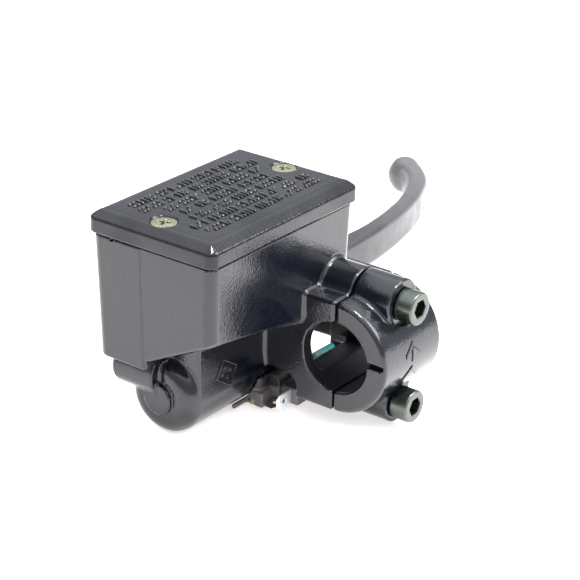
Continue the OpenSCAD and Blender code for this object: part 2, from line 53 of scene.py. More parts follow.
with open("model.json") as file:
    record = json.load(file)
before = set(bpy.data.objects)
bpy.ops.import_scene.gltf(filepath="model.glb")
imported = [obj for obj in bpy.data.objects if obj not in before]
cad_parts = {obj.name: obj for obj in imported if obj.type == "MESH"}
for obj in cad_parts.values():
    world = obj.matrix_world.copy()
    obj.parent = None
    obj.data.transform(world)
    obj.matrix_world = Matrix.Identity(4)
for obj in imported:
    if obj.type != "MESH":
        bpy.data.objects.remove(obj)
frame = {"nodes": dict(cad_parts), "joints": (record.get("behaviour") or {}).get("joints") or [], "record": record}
cad_low, cad_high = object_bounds()


# ---------------------------------------------------------------- places taken from the frame

def span(node):
    """Lowest and highest corner of a CAD node, in millimetres."""
    low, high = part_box(node)
    return np.array(low) / MM, np.array(high) / MM


def joint_place(name):
    """A joint's place in millimetres."""
    joint = next(j for j in frame["joints"] if j["name"] == name)
    return np.array(joint["pos_m"]) / MM


def mount(name):
    return next(m for m in frame["record"]["mounts"] if m["name"] == name)


CAP_LOW, CAP_HIGH = span("clamp_cap")
BODY_LOW, BODY_HIGH = span("master_body")
LID_LOW, LID_HIGH = span("reservoir_lid")
BOLT_LOW, BOLT_HIGH = span("clamp_bolts")
PISTON_LOW, PISTON_HIGH = span("piston")
SCREWS_LOW, SCREWS_HIGH = span("lid_screws")
LEVER_LOW, LEVER_HIGH = span("brake_lever")
SWITCH_LOW, SWITCH_HIGH = span("switch_housing")
STUD_LOW, STUD_HIGH = span("switch_screw")
PLUNGER_LOW, PLUNGER_HIGH = span("switch_plunger")
PIVOT = joint_place("lever_pivot")
PLUNGER_Y = (PLUNGER_LOW[1] + PLUNGER_HIGH[1]) / 2
PLUNGER_Z = (PLUNGER_LOW[2] + PLUNGER_HIGH[2]) / 2
PLUNGER_R = (PLUNGER_HIGH[1] - PLUNGER_LOW[1]) / 2
STUD_AT = ((STUD_LOW[0] + STUD_HIGH[0]) / 2, (STUD_LOW[1] + STUD_HIGH[1]) / 2)

BAR_R = mount("handlebar_clamp")["dims"]["r_mm"]
CLAMP_HALF = CAP_HIGH[0]
CLAMP_R = -CAP_LOW[1]
BORE_Y = (PISTON_LOW[1] + PISTON_HIGH[1]) / 2
BORE_Z = (PISTON_LOW[2] + PISTON_HIGH[2]) / 2
BORE_R = (PISTON_HIGH[2] - PISTON_LOW[2]) / 2 + 0.05
HEAD_R = 5.0
BOLT_Z = BOLT_HIGH[2] - HEAD_R
BOLT_BOSSES = ((-BOLT_Z, 6.5), (BOLT_Z, 7.5))
SHANK_R = 2.95
BOLT_HOLE_R = 3.2
SPOT_FACE_R = 6.5
SOCKET_ACROSS = 5.0
SOCKET_DEPTH = 3.5
SEAT_Y = BOLT_LOW[1] + 6.0
SPLIT = 0.3
BLOCK_FRONT = BAR_R + 2.8

TUB_TOP = BODY_HIGH[2]
TUB_LOW_Z = 0.4
TUB_X = (BODY_LOW[0], LID_HIGH[0] - 0.8)
TUB_Y = (LID_LOW[1] + 0.8, LID_HIGH[1] - 0.8)
TUB_MID = (sum(TUB_X) / 2, sum(TUB_Y) / 2)
TUB_CORNER = 3.4
TUB_DRAFT = 1.0
TUB_WALL = 2.8
TUB_FLOOR = 4.0
SLANT = np.array((0.1374, 0.4485, 0.8832))
SLANT_AT = np.array((TUB_X[0], BORE_Y - 2.5, 4.1))
SCREW_R = 4.2
SCREW_X = (SCREWS_LOW[0] + SCREW_R, SCREWS_HIGH[0] - SCREW_R)
SCREW_SLOPE, SCREW_LENGTH = 0.92, 1.36      # of the countersink: radius per depth, and along the slope
LID_BEVEL = (3.2, 2.3)
MARK_H = 0.4
LID_TOP = LID_HIGH[2] - MARK_H

BARREL_R = 12.0
BARREL_X = (-49.6, 5.5, 9.5)        # blind end, step down to the nose, mouth
NOSE_R = BORE_R + 3.65
BORE_END_X = -43.5
MOUTH_X = 1.5                       # from here out the bore is wider, for the washer and circlip
MOUTH_STEP = 2.1
NECK = ((-45.6, BORE_Y - 11.5, BORE_Z), (5.5, BORE_Y + 11, 6.0))
WEB_T = 4.0
WEB_FOOT = -10.3
EAR_R = 8.6
EAR_UPPER = (-6.9, -2.4)
EAR_LOWER = (-19.5, -15.5)
EAR_ROOT_X = -4.0
PIVOT_HOLE_R = 4.05
THREAD_R = 3.0
OUTLET = np.array(mount("hose_outlet")["pos_m"]) / MM
OUTLET_PAD_R = 6.6
OUTLET_BORE_R = 4.45
OUTLET_DEPTH = 11


# ---------------------------------------------------------------- distance fields

def length(*parts):
    return np.sqrt(sum(p * p for p in parts))


def corner(*sides):
    """Distance to a convex corner, from the distance to each of its sides."""
    inner = sides[0]
    for side in sides[1:]:
        inner = np.maximum(inner, side)
    return length(*(np.maximum(side, 0) for side in sides)) + np.minimum(inner, 0)


def weld(a, b, r=0.0):
    """Both shapes, with a fillet of radius r where they meet."""
    if r <= 0:
        return np.minimum(a, b)
    return np.maximum(r, np.minimum(a, b)) - length(np.maximum(r - a, 0), np.maximum(r - b, 0))


def common(a, b, r=0.0):
    """What both shapes share, with its new edge rounded to radius r."""
    if r <= 0:
        return np.maximum(a, b)
    return np.minimum(-r, np.maximum(a, b)) + length(np.maximum(r + a, 0), np.maximum(r + b, 0))


def carve(a, b, r=0.0):
    """Shape a with shape b cut away, the mouth's edge rounded to radius r."""
    return common(a, -b, r)


def block(p, low, high, r=0.0):
    """A box with rounded edges. Any of its sides may be infinite."""
    q = []
    for v, lo, hi in zip(p, low, high):
        if lo == -math.inf and hi == math.inf:
            continue
        if lo == -math.inf:
            q.append(v - hi + r)
        elif hi == math.inf:
            q.append(lo - v + r)
        else:
            q.append(np.abs(v - (lo + hi) / 2) - (hi - lo) / 2 + r)
    return corner(*q) - r


def disc(radial, along, r, low, high, edge=0.0):
    """A cylinder from its radial and axial coordinates, its rims rounded."""
    q = radial - r + edge
    s = np.abs(along - (low + high) / 2) - (high - low) / 2 + edge
    return corner(q, s) - edge


def outline(x, y, points):
    """Signed distance to a closed polygon in the plane."""
    d, inside = None, None
    for (ax, ay), (bx, by) in zip(points, points[1:] + points[:1]):
        ex, ey = bx - ax, by - ay
        wx, wy = x - ax, y - ay
        t = np.clip((wx * ex + wy * ey) / (ex * ex + ey * ey), 0, 1)
        e = length(wx - ex * t, wy - ey * t)
        d = e if d is None else np.minimum(d, e)
        crosses = ((ay > y) != (by > y)) & (wx < ex * wy / (ey if ey else 1e-9))
        inside = crosses if inside is None else inside ^ crosses
    return np.where(inside, -d, d)


def slab(flat, z, low, high, edge=0.0):
    """A flat outline's distance raised from low to high, its rims rounded."""
    return common(flat, np.abs(z - (low + high) / 2) - (high - low) / 2, edge)


def smooth_step(v, low, high):
    t = np.clip((v - low) / (high - low), 0, 1)
    return t * t * (3 - 2 * t)


# ---------------------------------------------------------------- from field to mesh

def gradient(field, v):
    h = 0.02
    g = np.empty_like(v)
    for i in range(3):
        step = np.zeros(3)
        step[i] = h
        a, b = v + step, v - step
        g[:, i] = (field(a[:, 0], a[:, 1], a[:, 2]) - field(b[:, 0], b[:, 1], b[:, 2])) / (2 * h)
    return g


def settle(field, v, cell):
    """Moves points onto the field's surface, and returns them with its normals."""
    start = v.copy()
    for _ in range(4):
        g = gradient(field, v)
        f = field(v[:, 0], v[:, 1], v[:, 2])
        v = v - (f / np.maximum((g * g).sum(1), 0.2))[:, None] * g
        v = start + np.clip(v - start, -cell, cell)
    n = gradient(field, v)
    return v, n / np.maximum(np.linalg.norm(n, axis=1), 1e-9)[:, None]


def surface(field, low, high, cell):
    """Surface nets: a vertex in each grid cell that the surface crosses, a quad at each crossed edge."""
    low, high = np.array(low, float) - 1.5 * cell, np.array(high, float) + 1.5 * cell
    count = np.ceil((high - low) / cell).astype(int) + 1
    axes = [low[i] + cell * np.arange(count[i]) for i in range(3)]
    shape = tuple(count)
    x, y, z = np.meshgrid(*axes, indexing="ij", sparse=True)
    f = np.broadcast_to(field(x, y, z), shape).astype(np.float32)
    inside = f < 0
    total = np.zeros([n - 1 for n in shape], np.int32)
    where = np.zeros([n - 1 for n in shape] + [3], np.float32)
    index = [np.arange(n, dtype=np.float32) for n in shape]
    crossed = []
    for axis in range(3):
        a = [slice(None)] * 3
        b = [slice(None)] * 3
        a[axis], b[axis] = slice(0, -1), slice(1, None)
        a, b = tuple(a), tuple(b)
        cut = inside[a] != inside[b]
        gap = f[a] - f[b]
        t = np.where(cut, f[a] / np.where(gap == 0, 1, gap), 0).astype(np.float32)
        place = [index[i].reshape([-1 if j == i else 1 for j in range(3)]) for i in range(3)]
        place[axis] = place[axis][tuple(slice(0, -1) if j == axis else slice(None) for j in range(3))]
        others = [i for i in range(3) if i != axis]
        for u in (0, 1):
            for w in (0, 1):
                s = [slice(None)] * 3
                s[others[0]] = slice(u, shape[others[0]] - 1 + u)
                s[others[1]] = slice(w, shape[others[1]] - 1 + w)
                s = tuple(s)
                total += cut[s]
                for i in range(3):
                    value = np.broadcast_to(place[i], cut.shape)[s] + (t[s] if i == axis else 0)
                    where[..., i] += np.where(cut[s], value, 0)
        crossed.append((cut, inside[a]))
    used = total > 0
    number = -np.ones(total.shape, np.int64)
    number[used] = np.arange(used.sum())
    v = low + cell * (where[used] / total[used][:, None])
    quads = []
    for axis, (cut, first_in) in enumerate(crossed):
        p, q = [i for i in range(3) if i != axis]
        spots = np.argwhere(cut)
        keep = (spots[:, p] > 0) & (spots[:, q] > 0)
        keep &= (spots[:, p] < shape[p] - 1) & (spots[:, q] < shape[q] - 1)
        spots = spots[keep]
        corners = []
        for dp, dq in ((1, 1), (0, 1), (0, 0), (1, 0)):
            c = spots.copy()
            c[:, p] -= dp
            c[:, q] -= dq
            corners.append(number[c[:, 0], c[:, 1], c[:, 2]])
        quad = np.stack(corners, 1)
        flip = ~first_in[spots[:, 0], spots[:, 1], spots[:, 2]]
        if axis == 1:
            flip = ~flip
        quad[flip] = quad[flip][:, ::-1]
        quads.append(quad)
    v, n = settle(field, v, cell)
    return v, n, np.concatenate(quads)


def mesh_of(name, v, faces, normals=None):
    """A mesh from points in millimetres."""
    mesh = bpy.data.meshes.new(name)
    faces = np.asarray(faces)
    sides = faces.shape[1]
    mesh.vertices.add(len(v))
    mesh.vertices.foreach_set("co", (np.asarray(v) * MM).astype(np.float32).ravel())
    mesh.loops.add(faces.size)
    mesh.loops.foreach_set("vertex_index", faces.astype(np.int32).ravel())
    mesh.polygons.add(len(faces))
    mesh.polygons.foreach_set("loop_start", np.arange(0, faces.size, sides, dtype=np.int32))
    mesh.polygons.foreach_set("use_smooth", np.ones(len(faces), bool))
    mesh.update(calc_edges=True)
    mesh.validate()
    if normals is not None:
        mesh.normals_split_custom_set_from_vertices(np.asarray(normals, float))
    return mesh


def piece(name, mesh, material, body, slot, *nodes):
    """Puts a mesh in the scene as a piece that rides on a body and stands for CAD nodes."""
    obj = bpy.data.objects.new(name, mesh)
    bpy.context.scene.collection.objects.link(obj)
    mesh.materials.append(material)
    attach(obj, body)
    if nodes:
        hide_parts(*nodes)
    return obj


def cast(name, field, low, high, cell, material, body, slot, *nodes):
    """A piece from its field."""
    v, n, quads = surface(field, low, high, cell)
    return piece(name, mesh_of(name, v, quads, n), material, body, slot, *nodes)


# ---------------------------------------------------------------- the master cylinder's casting

def above_slant(x, y, z):
    """Distance above the tub's slanting base."""
    return sum(n * (v - a) for n, v, a in zip(SLANT, (x, y, z), SLANT_AT))


def tub_field(x, y, z):
    """The reservoir's tub: drafted walls, rounded corners and a base that slants up to the rear."""
    lean = (TUB_TOP - z) / (TUB_TOP - TUB_LOW_Z) * TUB_DRAFT
    qx = np.abs(x - TUB_MID[0]) - (TUB_X[1] - TUB_X[0]) / 2 + lean + TUB_CORNER
    qy = np.abs(y - TUB_MID[1]) - (TUB_Y[1] - TUB_Y[0]) / 2 + lean + TUB_CORNER
    side = corner(qx, qy) - TUB_CORNER
    # The mould's parting line: the front half stands a hair proud of the rear half
    side = side + 0.16 * (1 - smooth_step(y, BORE_Y - 0.5, BORE_Y + 0.3))
    base = np.maximum(TUB_LOW_Z - z, np.minimum(-above_slant(x, y, z), BORE_Y - 1 - y))
    return common(common(side, z - TUB_TOP, 0.4), base, 0.9)


def tub_room_field(x, y, z):
    """The room for the fluid, with the lid screws' bosses left standing."""
    inset = TUB_WALL + TUB_DRAFT / 2
    room = block((x, y, z), (TUB_X[0] + inset, TUB_Y[0] + inset, TUB_FLOOR),
                 (TUB_X[1] - inset, TUB_Y[1] - inset, TUB_TOP + 9), 1.7)
    room = common(room, TUB_WALL + 0.4 - above_slant(x, y, z), 1.0)
    for screw_x, end in zip(SCREW_X, TUB_X):
        post = length(x - screw_x, y - TUB_MID[1]) - SCREW_R
        web = block((x, y), (min(screw_x, end), TUB_MID[1] - SCREW_R),
                    (max(screw_x, end), TUB_MID[1] + SCREW_R))
        room = carve(room, np.minimum(post, web), 0.8)
    return room


def barrel_field(x, y, z):
    radial = length(y - BORE_Y, z - BORE_Z)
    barrel = common(common(radial - BARREL_R, BARREL_X[0] - x, 5.0), x - BARREL_X[1], 0.8)
    nose = common(radial - NOSE_R, np.abs(x) - BARREL_X[2], 0.5)
    barrel = weld(barrel, nose, 0.8)
    pad = disc(radial, x, 5.0, BARREL_X[0] - 1.4, BARREL_X[0] + 3, 0.35)
    return weld(barrel, pad, 0.35)


def clamp_block_field(x, y, z):
    """The clamp's fixed half, and the web and plate that carry it on the neck."""
    half = block((x, y, z), (-CLAMP_HALF, SPLIT, -CLAMP_R), (CLAMP_HALF, BLOCK_FRONT, CLAMP_R), 1.1)
    plate = block((x, y, z), (-CLAMP_HALF, 6, 7.5), (CLAMP_HALF, BORE_Y - 8, CLAMP_R), 1.1)
    web = block((x, y, z), (-CLAMP_HALF, 6, -CLAMP_R), (-CLAMP_HALF + WEB_T, BORE_Y - 8, CLAMP_R), 1.1)
    arch = block((y, z), (BLOCK_FRONT, -math.inf), (math.inf, WEB_FOOT), 4.5)
    web = carve(web, arch, 0.9)
    arm = np.minimum(half, np.minimum(plate, web))
    for bolt_z, r in BOLT_BOSSES:
        boss = disc(length(x, z - bolt_z), y, r, SPLIT, BLOCK_FRONT + 4 * (bolt_z > 0), 0.8)
        arm = weld(arm, boss, 1.6)
    return common(arm, SPLIT - y, 0.35)


def ear_points():
    """Outline of the lever's bracket: the pivot's round end drawn to the barrel's block."""
    points = [(EAR_ROOT_X, BORE_Y + 9), (BARREL_X[2], BORE_Y + 9)]
    points += [(PIVOT[0] + EAR_R * math.cos(a), PIVOT[1] + EAR_R * math.sin(a))
               for a in np.radians(np.arange(-62, 116, 9))]
    return points + [(EAR_ROOT_X, BORE_Y + 15)]


def bracket_field(x, y, z):
    flat = outline(x, y, ear_points())
    upper = slab(flat, z, *EAR_UPPER, 0.8)
    lower = slab(flat, z, *EAR_LOWER, 0.8)
    middle = block((x, y, z), (EAR_ROOT_X, BORE_Y, EAR_LOWER[0]),
                   (BARREL_X[2], BORE_Y + 15, EAR_UPPER[1]), 0.8)
    return weld(np.minimum(upper, lower), middle, 0.6)


def body_field(x, y, z):
    p = (x, y, z)
    neck = block(p, *NECK, 0.5)
    body = weld(tub_field(x, y, z), neck, 1.4)
    body = weld(body, barrel_field(x, y, z), 0.8)
    from_outlet = length(x - OUTLET[0], z - OUTLET[2])
    body = weld(body, disc(from_outlet, y, OUTLET_PAD_R, BORE_Y, OUTLET[1], 0.5), 1.0)
    body = weld(body, clamp_block_field(x, y, z), 1.5)
    body = weld(body, bracket_field(x, y, z), 1.2)
    body = np.maximum(body, z - TUB_TOP)
    body = carve(body, tub_room_field(x, y, z), 0.4)
    # Handlebar bore and the window in front of it
    body = carve(body, length(y, z) - BAR_R, 0.5)
    window = block(p, (-CLAMP_HALF + WEB_T, 2, 2.6 - BAR_R),
                   (CLAMP_HALF + WEB_T - 8, BLOCK_FRONT + 0.5, BAR_R - 4.6), 2.0)
    body = carve(body, window, 0.4)
    # Hydraulic bore, hose outlet, pivot and bolt holes
    radial = length(y - BORE_Y, z - BORE_Z)
    body = carve(body, np.maximum(radial - BORE_R, BORE_END_X - x), 0.3)
    body = carve(body, np.maximum(radial - BORE_R - MOUTH_STEP, MOUTH_X - x), 0.4)
    body = carve(body, np.maximum(from_outlet - OUTLET_BORE_R, OUTLET[1] - OUTLET_DEPTH - y), 0.5)
    from_pivot = length(x - PIVOT[0], y - PIVOT[1])
    body = carve(body, np.maximum(from_pivot - PIVOT_HOLE_R, BORE_Z - z), 0.3)
    body = carve(body, np.maximum(from_pivot - THREAD_R, z - BORE_Z), 0.3)
    for bolt_z in (-BOLT_Z, BOLT_Z):
        body = carve(body, np.maximum(length(x, z - bolt_z) - THREAD_R, y - BLOCK_FRONT + 1.9), 0.2)
    # Pry slot under the lid's rim
    slot = block(p, (-math.inf, BORE_Y + 9.4, TUB_TOP - 0.7), (TUB_X[0] + 0.8, BORE_Y + 11, math.inf), 0.3)
    return carve(body, slot, 0.2)


def cap_field(x, y, z):
    """The clamp's removable half."""
    cap = disc(length(y, z), x, CLAMP_R, -CLAMP_HALF, CLAMP_HALF, 1.6)
    for bolt_z, r in BOLT_BOSSES:
        boss = disc(length(x, z - bolt_z), y, r, SEAT_Y, 9, 0.7)
        cap = weld(cap, boss, 1.2)
    for bolt_z in (-BOLT_Z, BOLT_Z):
        radial = length(x, z - bolt_z)
        cap = carve(cap, disc(radial, y, SPOT_FACE_R, -40, SEAT_Y, 0.3), 0.4)
        cap = carve(cap, radial - BOLT_HOLE_R, 0.2)
    cap = common(cap, y + SPLIT, 0.35)
    cap = carve(cap, length(y, z) - BAR_R, 0.5)
    for end in (-1, 1):
        slot = block((x * end, y, z), (CLAMP_HALF - 2, 0.9 - CLAMP_R, 0.4),
                     (CLAMP_HALF + 5, 2 - BAR_R, 2.1), 0.8)
        cap = carve(cap, slot, 0.3)
    return cap


# ---------------------------------------------------------------- lid

LID_RIM = LID_HIGH[2] - MARK_H - LID_BEVEL[1]
LID_CORNER = 3.0
LID_WALL = 4.2
LID_SKIN = 2.5


def lid_field(x, y, z):
    """Rim, bevel and flat top, hollow below, with two countersunk holes."""
    qx = np.abs(x - TUB_MID[0]) - (LID_HIGH[0] - LID_LOW[0]) / 2 + LID_CORNER
    qy = np.abs(y - TUB_MID[1]) - (LID_HIGH[1] - LID_LOW[1]) / 2 + LID_CORNER
    side = corner(qx, qy) - LID_CORNER
    wide, tall = LID_BEVEL
    bevel = (side * tall + (z - LID_RIM) * wide) / math.hypot(wide, tall)
    lid = common(common(side, bevel, 0.5), z - LID_TOP, 0.6)
    lid = common(lid, LID_LOW[2] - z, 0.3)
    room = block((x, y, z), (LID_LOW[0] + LID_WALL, LID_LOW[1] + LID_WALL, -math.inf),
                 (LID_HIGH[0] - LID_WALL, LID_HIGH[1] - LID_WALL, LID_TOP - LID_SKIN), 1.5)
    for screw_x in SCREW_X:
        radial = length(x - screw_x, y - TUB_MID[1])
        room = carve(room, radial - 5.0, 0.5)
        cone = (radial - SCREW_R - 0.12 + (LID_TOP - z) * SCREW_SLOPE) / SCREW_LENGTH
        lid = carve(lid, np.minimum(cone, radial - 2.2), 0.05)
    return carve(lid, room, 0.3)


def bars_mesh(name, bars, z, height):
    """Raised bars with rounded tops, as one mesh. A bar is its centre, its half sizes and its turn."""
    rings = ((1.06, -0.25), (1.04, 0.1), (0.92, 0.55), (0.66, 0.88), (0.34, 1.0))
    sides = 12
    v, faces = [], []
    for cx, cy, hx, hy, turn in bars:
        base = len(v)
        c, s = math.cos(turn), math.sin(turn)
        for scale, level in rings:
            inset = (1 - scale) * min(hx, hy)
            r = min(hx, hy) * 0.55
            for k in range(sides):
                a = 2 * math.pi * (k + 0.5) / sides
                px = math.copysign(hx - inset - r, math.cos(a)) + r * math.cos(a)
                py = math.copysign(hy - inset - r, math.sin(a)) + r * math.sin(a)
                v.append((cx + px * c - py * s, cy + px * s + py * c, z + level * height))
        for ring in range(len(rings) - 1):
            for k in range(sides):
                a, b = base + ring * sides + k, base + ring * sides + (k + 1) % sides
                faces.append((a, b, b + sides, a + sides))
        top = base + (len(rings) - 1) * sides
        rungs = range(sides // 2 - 1)
        faces.extend((top + k, top + k + 1, top + sides - 2 - k, top + sides - 1 - k) for k in rungs)
        faces.extend((base + k + 1, base + k, base + sides - 1 - k, base + sides - 2 - k) for k in rungs)
    return mesh_of(name, v, faces)


def lid_bars():
    """Rows of plain raised blocks in word-like groups, where the real lid carries lettering."""
    rng = random.Random(11)
    bars = []
    pitch, block_h = 4.6, 1.55
    for row in range(-3, 4):
        y = TUB_MID[1] + row * pitch
        reach = (TUB_X[1] - TUB_X[0]) / 2 - (12.4 if row == 0 else 5.2 + abs(row))
        x = TUB_MID[0] - reach
        while x < TUB_MID[0] + reach - 3:
            for _ in range(rng.randint(3, 7)):
                w = rng.uniform(0.48, 0.82)
                kind = rng.random()
                if x + 2 * w > TUB_MID[0] + reach:
                    break
                clear = all(math.hypot(x + w - screw_x, y - TUB_MID[1]) > 7.4 for screw_x in SCREW_X)
                if clear and kind < 0.45:
                    bars.append((x + w, y, w * 0.55, block_h, 0))
                elif clear and kind < 0.8:
                    for level in (-0.62, 0.62):
                        bars.append((x + w, y + level * block_h, w, block_h * 0.3, 0))
                elif clear:
                    bars.append((x + w, y + rng.choice((-0.5, 0.5)) * block_h, w, block_h * 0.45, 0))
                x += 2 * w + 0.34
            x += rng.uniform(1.1, 1.9)
    return bars


# ---------------------------------------------------------------- fasteners

def hexagon(u, v, across):
    """Distance to a regular hexagon, across its flats."""
    root = math.sqrt(3) / 2
    return np.maximum(np.abs(v), np.maximum(np.abs(u * root + v / 2), np.abs(u * root - v / 2))) - across / 2


def bolts_field(x, y, z):
    """Two socket-head screws along Y."""
    both = None
    for bolt_z in (-BOLT_Z, BOLT_Z):
        u, w = x, z - bolt_z
        radial = length(u, w)
        head = disc(radial, y, HEAD_R, BOLT_LOW[1], SEAT_Y, 0.55)
        shank = disc(radial, y, SHANK_R, SEAT_Y - 1, BOLT_HIGH[1], 0.5)
        socket = np.maximum(hexagon(u, w, SOCKET_ACROSS), y - BOLT_LOW[1] - SOCKET_DEPTH)
        one = carve(np.minimum(head, shank), socket, 0.3)
        both = one if both is None else np.minimum(both, one)
    return both


def screw_field(screw_x):
    """A countersunk screw with a cross recess."""
    top = SCREWS_HIGH[2]

    def field(x, y, z):
        u, v = x - screw_x, y - TUB_MID[1]
        radial = length(u, v)
        cone = (radial - SCREW_R + (top - z) * SCREW_SLOPE) / SCREW_LENGTH
        dome = length(radial, z - top + 24) - 24.0
        head = common(common(cone, radial - SCREW_R + 0.02, 0.1), dome, 0.15)
        shank = disc(radial, z, 1.95, SCREWS_LOW[2], top - 1.5, 0.4)
        screw = np.minimum(np.maximum(head, top - 3.2 - z), shank)
        turn = math.radians(20)
        a, b = u * math.cos(turn) + v * math.sin(turn), v * math.cos(turn) - u * math.sin(turn)
        depth = top - z
        for p, q in ((a, b), (b, a)):
            arm = np.maximum(np.abs(p) - 2.15 + depth * 0.75, np.abs(q) - 0.46 + depth * 0.1)
            screw = carve(screw, np.maximum(arm, depth - 1.9), 0.1)
        return screw
    return field


def pivot_field(x, y, z):
    """The lever's shouldered bolt: domed slotted head, shoulder and thread."""
    low, top = (end[2] for end in span("lever_pivot_bolt"))
    u, v = x - PIVOT[0], y - PIVOT[1]
    radial = length(u, v)
    head = disc(radial, z, 6.5, EAR_UPPER[1], top, 0.7)
    shoulder = disc(radial, z, 4.0, EAR_LOWER[1] + 0.1, EAR_UPPER[1] + 0.5, 0.1)
    thread = disc(radial, z, SHANK_R, low, EAR_LOWER[1] + 0.4, 0.4)
    slot = np.maximum(np.abs(u * 0.94 + v * 0.34) - 0.7, top - 1.3 - z)
    return carve(np.minimum(np.minimum(head, shoulder), thread), slot, 0.15)


def nut_field(x, y, z):
    low, high = span("lever_pivot_nut")
    u, v = x - PIVOT[0], y - PIVOT[1]
    radial = length(u, v)
    chamfer = (radial - 5.5 + np.maximum(low[2] + 0.6 - z, 0) * 1.4) / 1.2
    nut = slab(hexagon(u, v, 10.0), z, low[2], high[2], 0.2)
    return carve(common(nut, chamfer, 0.2), radial - THREAD_R, 0.3)


# ---------------------------------------------------------------- lever

TIP_R = 6.3
BLADE_HALF_H = 6.5
BLADE_EDGE = 2.4
HUB_R = 9.0
HUB_Z = (-15.2, -7.2)
HUB_HOLE_R = 5.6
EAR_ROOM_R = 13.1                   # near the pivot the blade is cut down to the hub's height,
EAR_ROOM_Z = 4.01                   # so that it passes between the ears


def blade_line():
    """Middle line of the blade from the pivot out to the ball, as points with their half thickness."""
    tip = LEVER_HIGH[:2] - TIP_R
    px, py = PIVOT[0], PIVOT[1]
    knots = np.array([(px - 14, py + 1.5, 6.6), (px + 7, py - 0.4, 6.0), (px + 29, py - 2.2, 4.8),
                      (px + 53, py - 3.2, 3.6), (px + 69, py - 2.0, 3.3), (px + 85, py + 1.0, 3.3),
                      (px + 99, py + 5.4, 3.4), (px + 111, py + 11.2, 3.6), (px + 119, py + 18.5, 3.8),
                      (tip[0], tip[1], 4.0)])
    line = []
    for i in range(1, len(knots) - 1):
        a, b, c, d = knots[i - 1], knots[i], knots[i + 1], knots[min(i + 2, len(knots) - 1)]
        for t in np.arange(0, 1, 0.125):
            line.append(0.5 * (2 * b + (c - a) * t + (2 * a - 5 * b + 4 * c - d) * t * t
                               + (3 * b - a - 3 * c + d) * t ** 3))
    line.append(knots[-1])
    return np.array(line), tip


BLADE, TIP = blade_line()


def blade_field(x, y, z):
    """A rounded strap swept along the middle line."""
    best, half = None, None
    for (ax, ay, at), (bx, by, bt) in zip(BLADE[:-1], BLADE[1:]):
        ex, ey = bx - ax, by - ay
        t = np.clip(((x - ax) * ex + (y - ay) * ey) / (ex * ex + ey * ey), 0, 1)
        d = length(x - ax - ex * t, y - ay - ey * t)
        thick = at + (bt - at) * t
        if best is None:
            best, half = d, thick
        else:
            near = d < best
            best, half = np.where(near, d, best), np.where(near, thick, half)
    tall = BLADE_HALF_H - 0.5 * smooth_step(x, PIVOT[0] + 60, PIVOT[0] + 118)
    qa, qz = best - half + BLADE_EDGE, np.abs(z - BORE_Z) - tall + BLADE_EDGE
    return corner(qa, qz) - BLADE_EDGE


def lever_field(x, y, z):
    px, py = PIVOT[0], PIVOT[1]
    contact = PISTON_HIGH[0] + 0.1
    from_pivot = length(x - px, y - py)
    hub = disc(from_pivot, z, HUB_R, *HUB_Z, 0.6)
    arm = outline(x, y, [(px - 7.4, py - 5), (contact + 0.9, BORE_Y + 3.4),
                         (contact + 0.25, BORE_Y + 1.9), (contact, BORE_Y + 0.6),
                         (contact, BORE_Y - 0.6), (contact + 0.25, BORE_Y - 1.9),
                         (contact + 0.9, BORE_Y - 3.4), (contact + 1.2, PLUNGER_Y + 3),
                         (contact + 2, PLUNGER_Y), (contact + 5.8, PLUNGER_Y + 2),
                         (px + 5, BORE_Y - 3), (px + 8.4, py - 3.2)])
    arm = slab(arm, z, *HUB_Z, 0.5)
    finger = block((x, y, z), (PLUNGER_HIGH[0] + 0.15, PLUNGER_Y - 3.5, PLUNGER_Z - 2.2),
                   (contact + 2.6, PLUNGER_Y + 0.6, PLUNGER_Z + 2.4), 0.5)
    post = block((x, y, z), (contact + 0.6, PLUNGER_Y - 3.5, PLUNGER_Z - 2.2),
                 (contact + 4, PLUNGER_Y + 4, HUB_Z[1]), 0.5)
    arm = weld(np.minimum(arm, post), finger, 0.4)
    shoulder = block((x, y, z), (px, py - 7.2, HUB_Z[0]), (px + 17, py + 5.6, HUB_Z[1]), 0.6)
    blade = np.maximum(blade_field(x, y, z), px + 4 - x)
    room = np.maximum(from_pivot - EAR_ROOM_R, -np.abs(z - BORE_Z) + EAR_ROOM_Z)
    lever = np.minimum(np.minimum(hub, arm), shoulder)
    lever = weld(lever, carve(blade, room, 0.8), 0.8)
    ball = length(x - TIP[0], y - TIP[1], z - BORE_Z) - TIP_R
    lever = weld(lever, ball, 1.6)
    return carve(lever, from_pivot - HUB_HOLE_R, 0.3)


# ---------------------------------------------------------------- brake light switch

SWITCH_FRONT = -19.6
SWITCH_STEP = -14.2
SWITCH_TOP = -13.0
SHELF_END, SHELF_TOP = -8.0, -17.0
CHAMBER_R = 1.6
CHAMBER_END_X = -12.0
STUD_POST_R = 2.75
STUD_HEAD_R = 3.1
STUD_HOLE_R = 1.65


